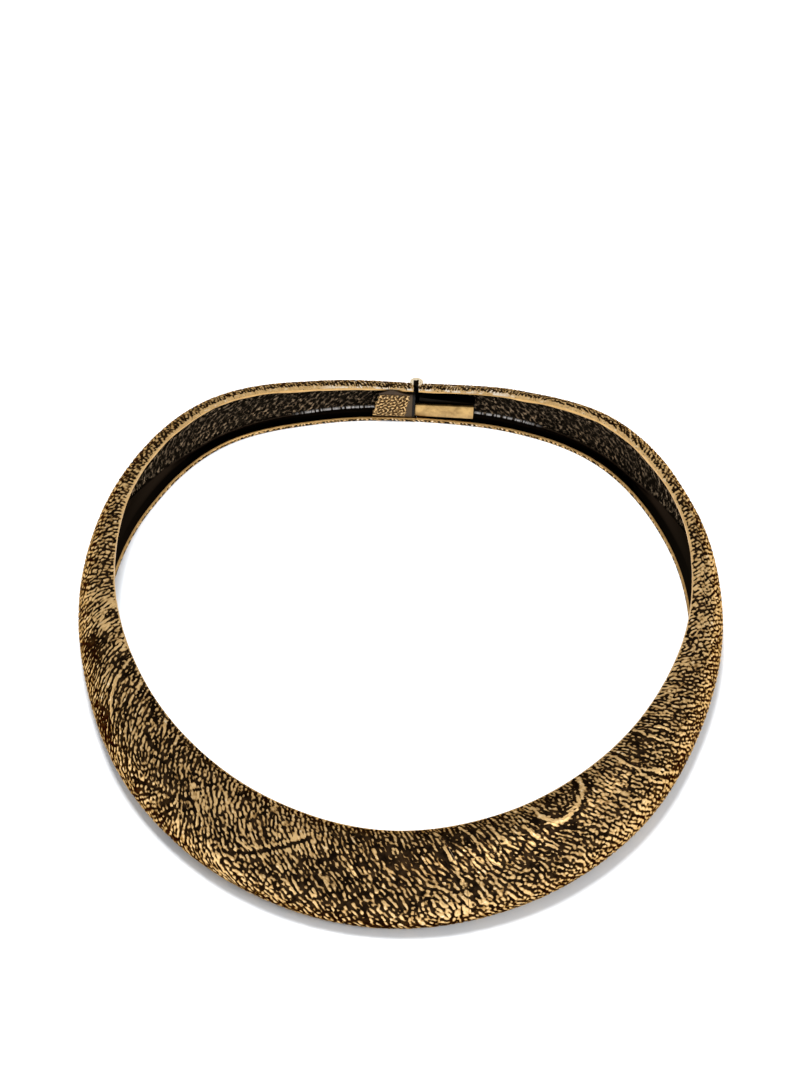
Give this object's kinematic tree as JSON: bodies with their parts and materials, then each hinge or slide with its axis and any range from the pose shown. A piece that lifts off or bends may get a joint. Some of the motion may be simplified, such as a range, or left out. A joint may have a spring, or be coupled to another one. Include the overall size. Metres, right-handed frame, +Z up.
{
  "type": "rigid hinged choker",
  "caption": "Rigid hinged choker: a domed, hollow brass band with a textured antique-gold face, opening at a front seam on an upright hinge at the back of the neck.",
  "frame": {"origin": "under the middle of the ring's box, on the surface that the lower rim stands on", "axes": "+X from side to side, towards the wearer's left; -Y is the front of the neck, where the seam is; +Z up, along the hinge pin"},
  "size_m": [0.1416, 0.1404, 0.0182],
  "materials": {
    "textured_gold": "cast texture, antique gold on the ridges and dark patina in the hollows",
    "smooth_gold": "smooth satin antique gold",
    "grey_metal": "smooth grey metal with soft bevels",
    "dark_metal": "blackened metal"
  },
  "bodies": {
    "left_half": {"left_shell": "textured_gold", "left_hinge_block": "grey_metal", "hinge_pin": "smooth_gold", "textured_pad": "textured_gold", "catch_tongue": "smooth_gold"},
    "right_half": {"right_shell": "textured_gold", "right_hinge_block": "dark_metal", "blank_plate": "smooth_gold"}
  },
  "joints": [
    {"name": "back_hinge", "type": "hinge", "parent": "left_half", "child": "right_half", "pos_m": [0, 0.069, 0.00525], "axis": [0, 0, 1], "range_deg": [0, 50]}
  ]
}
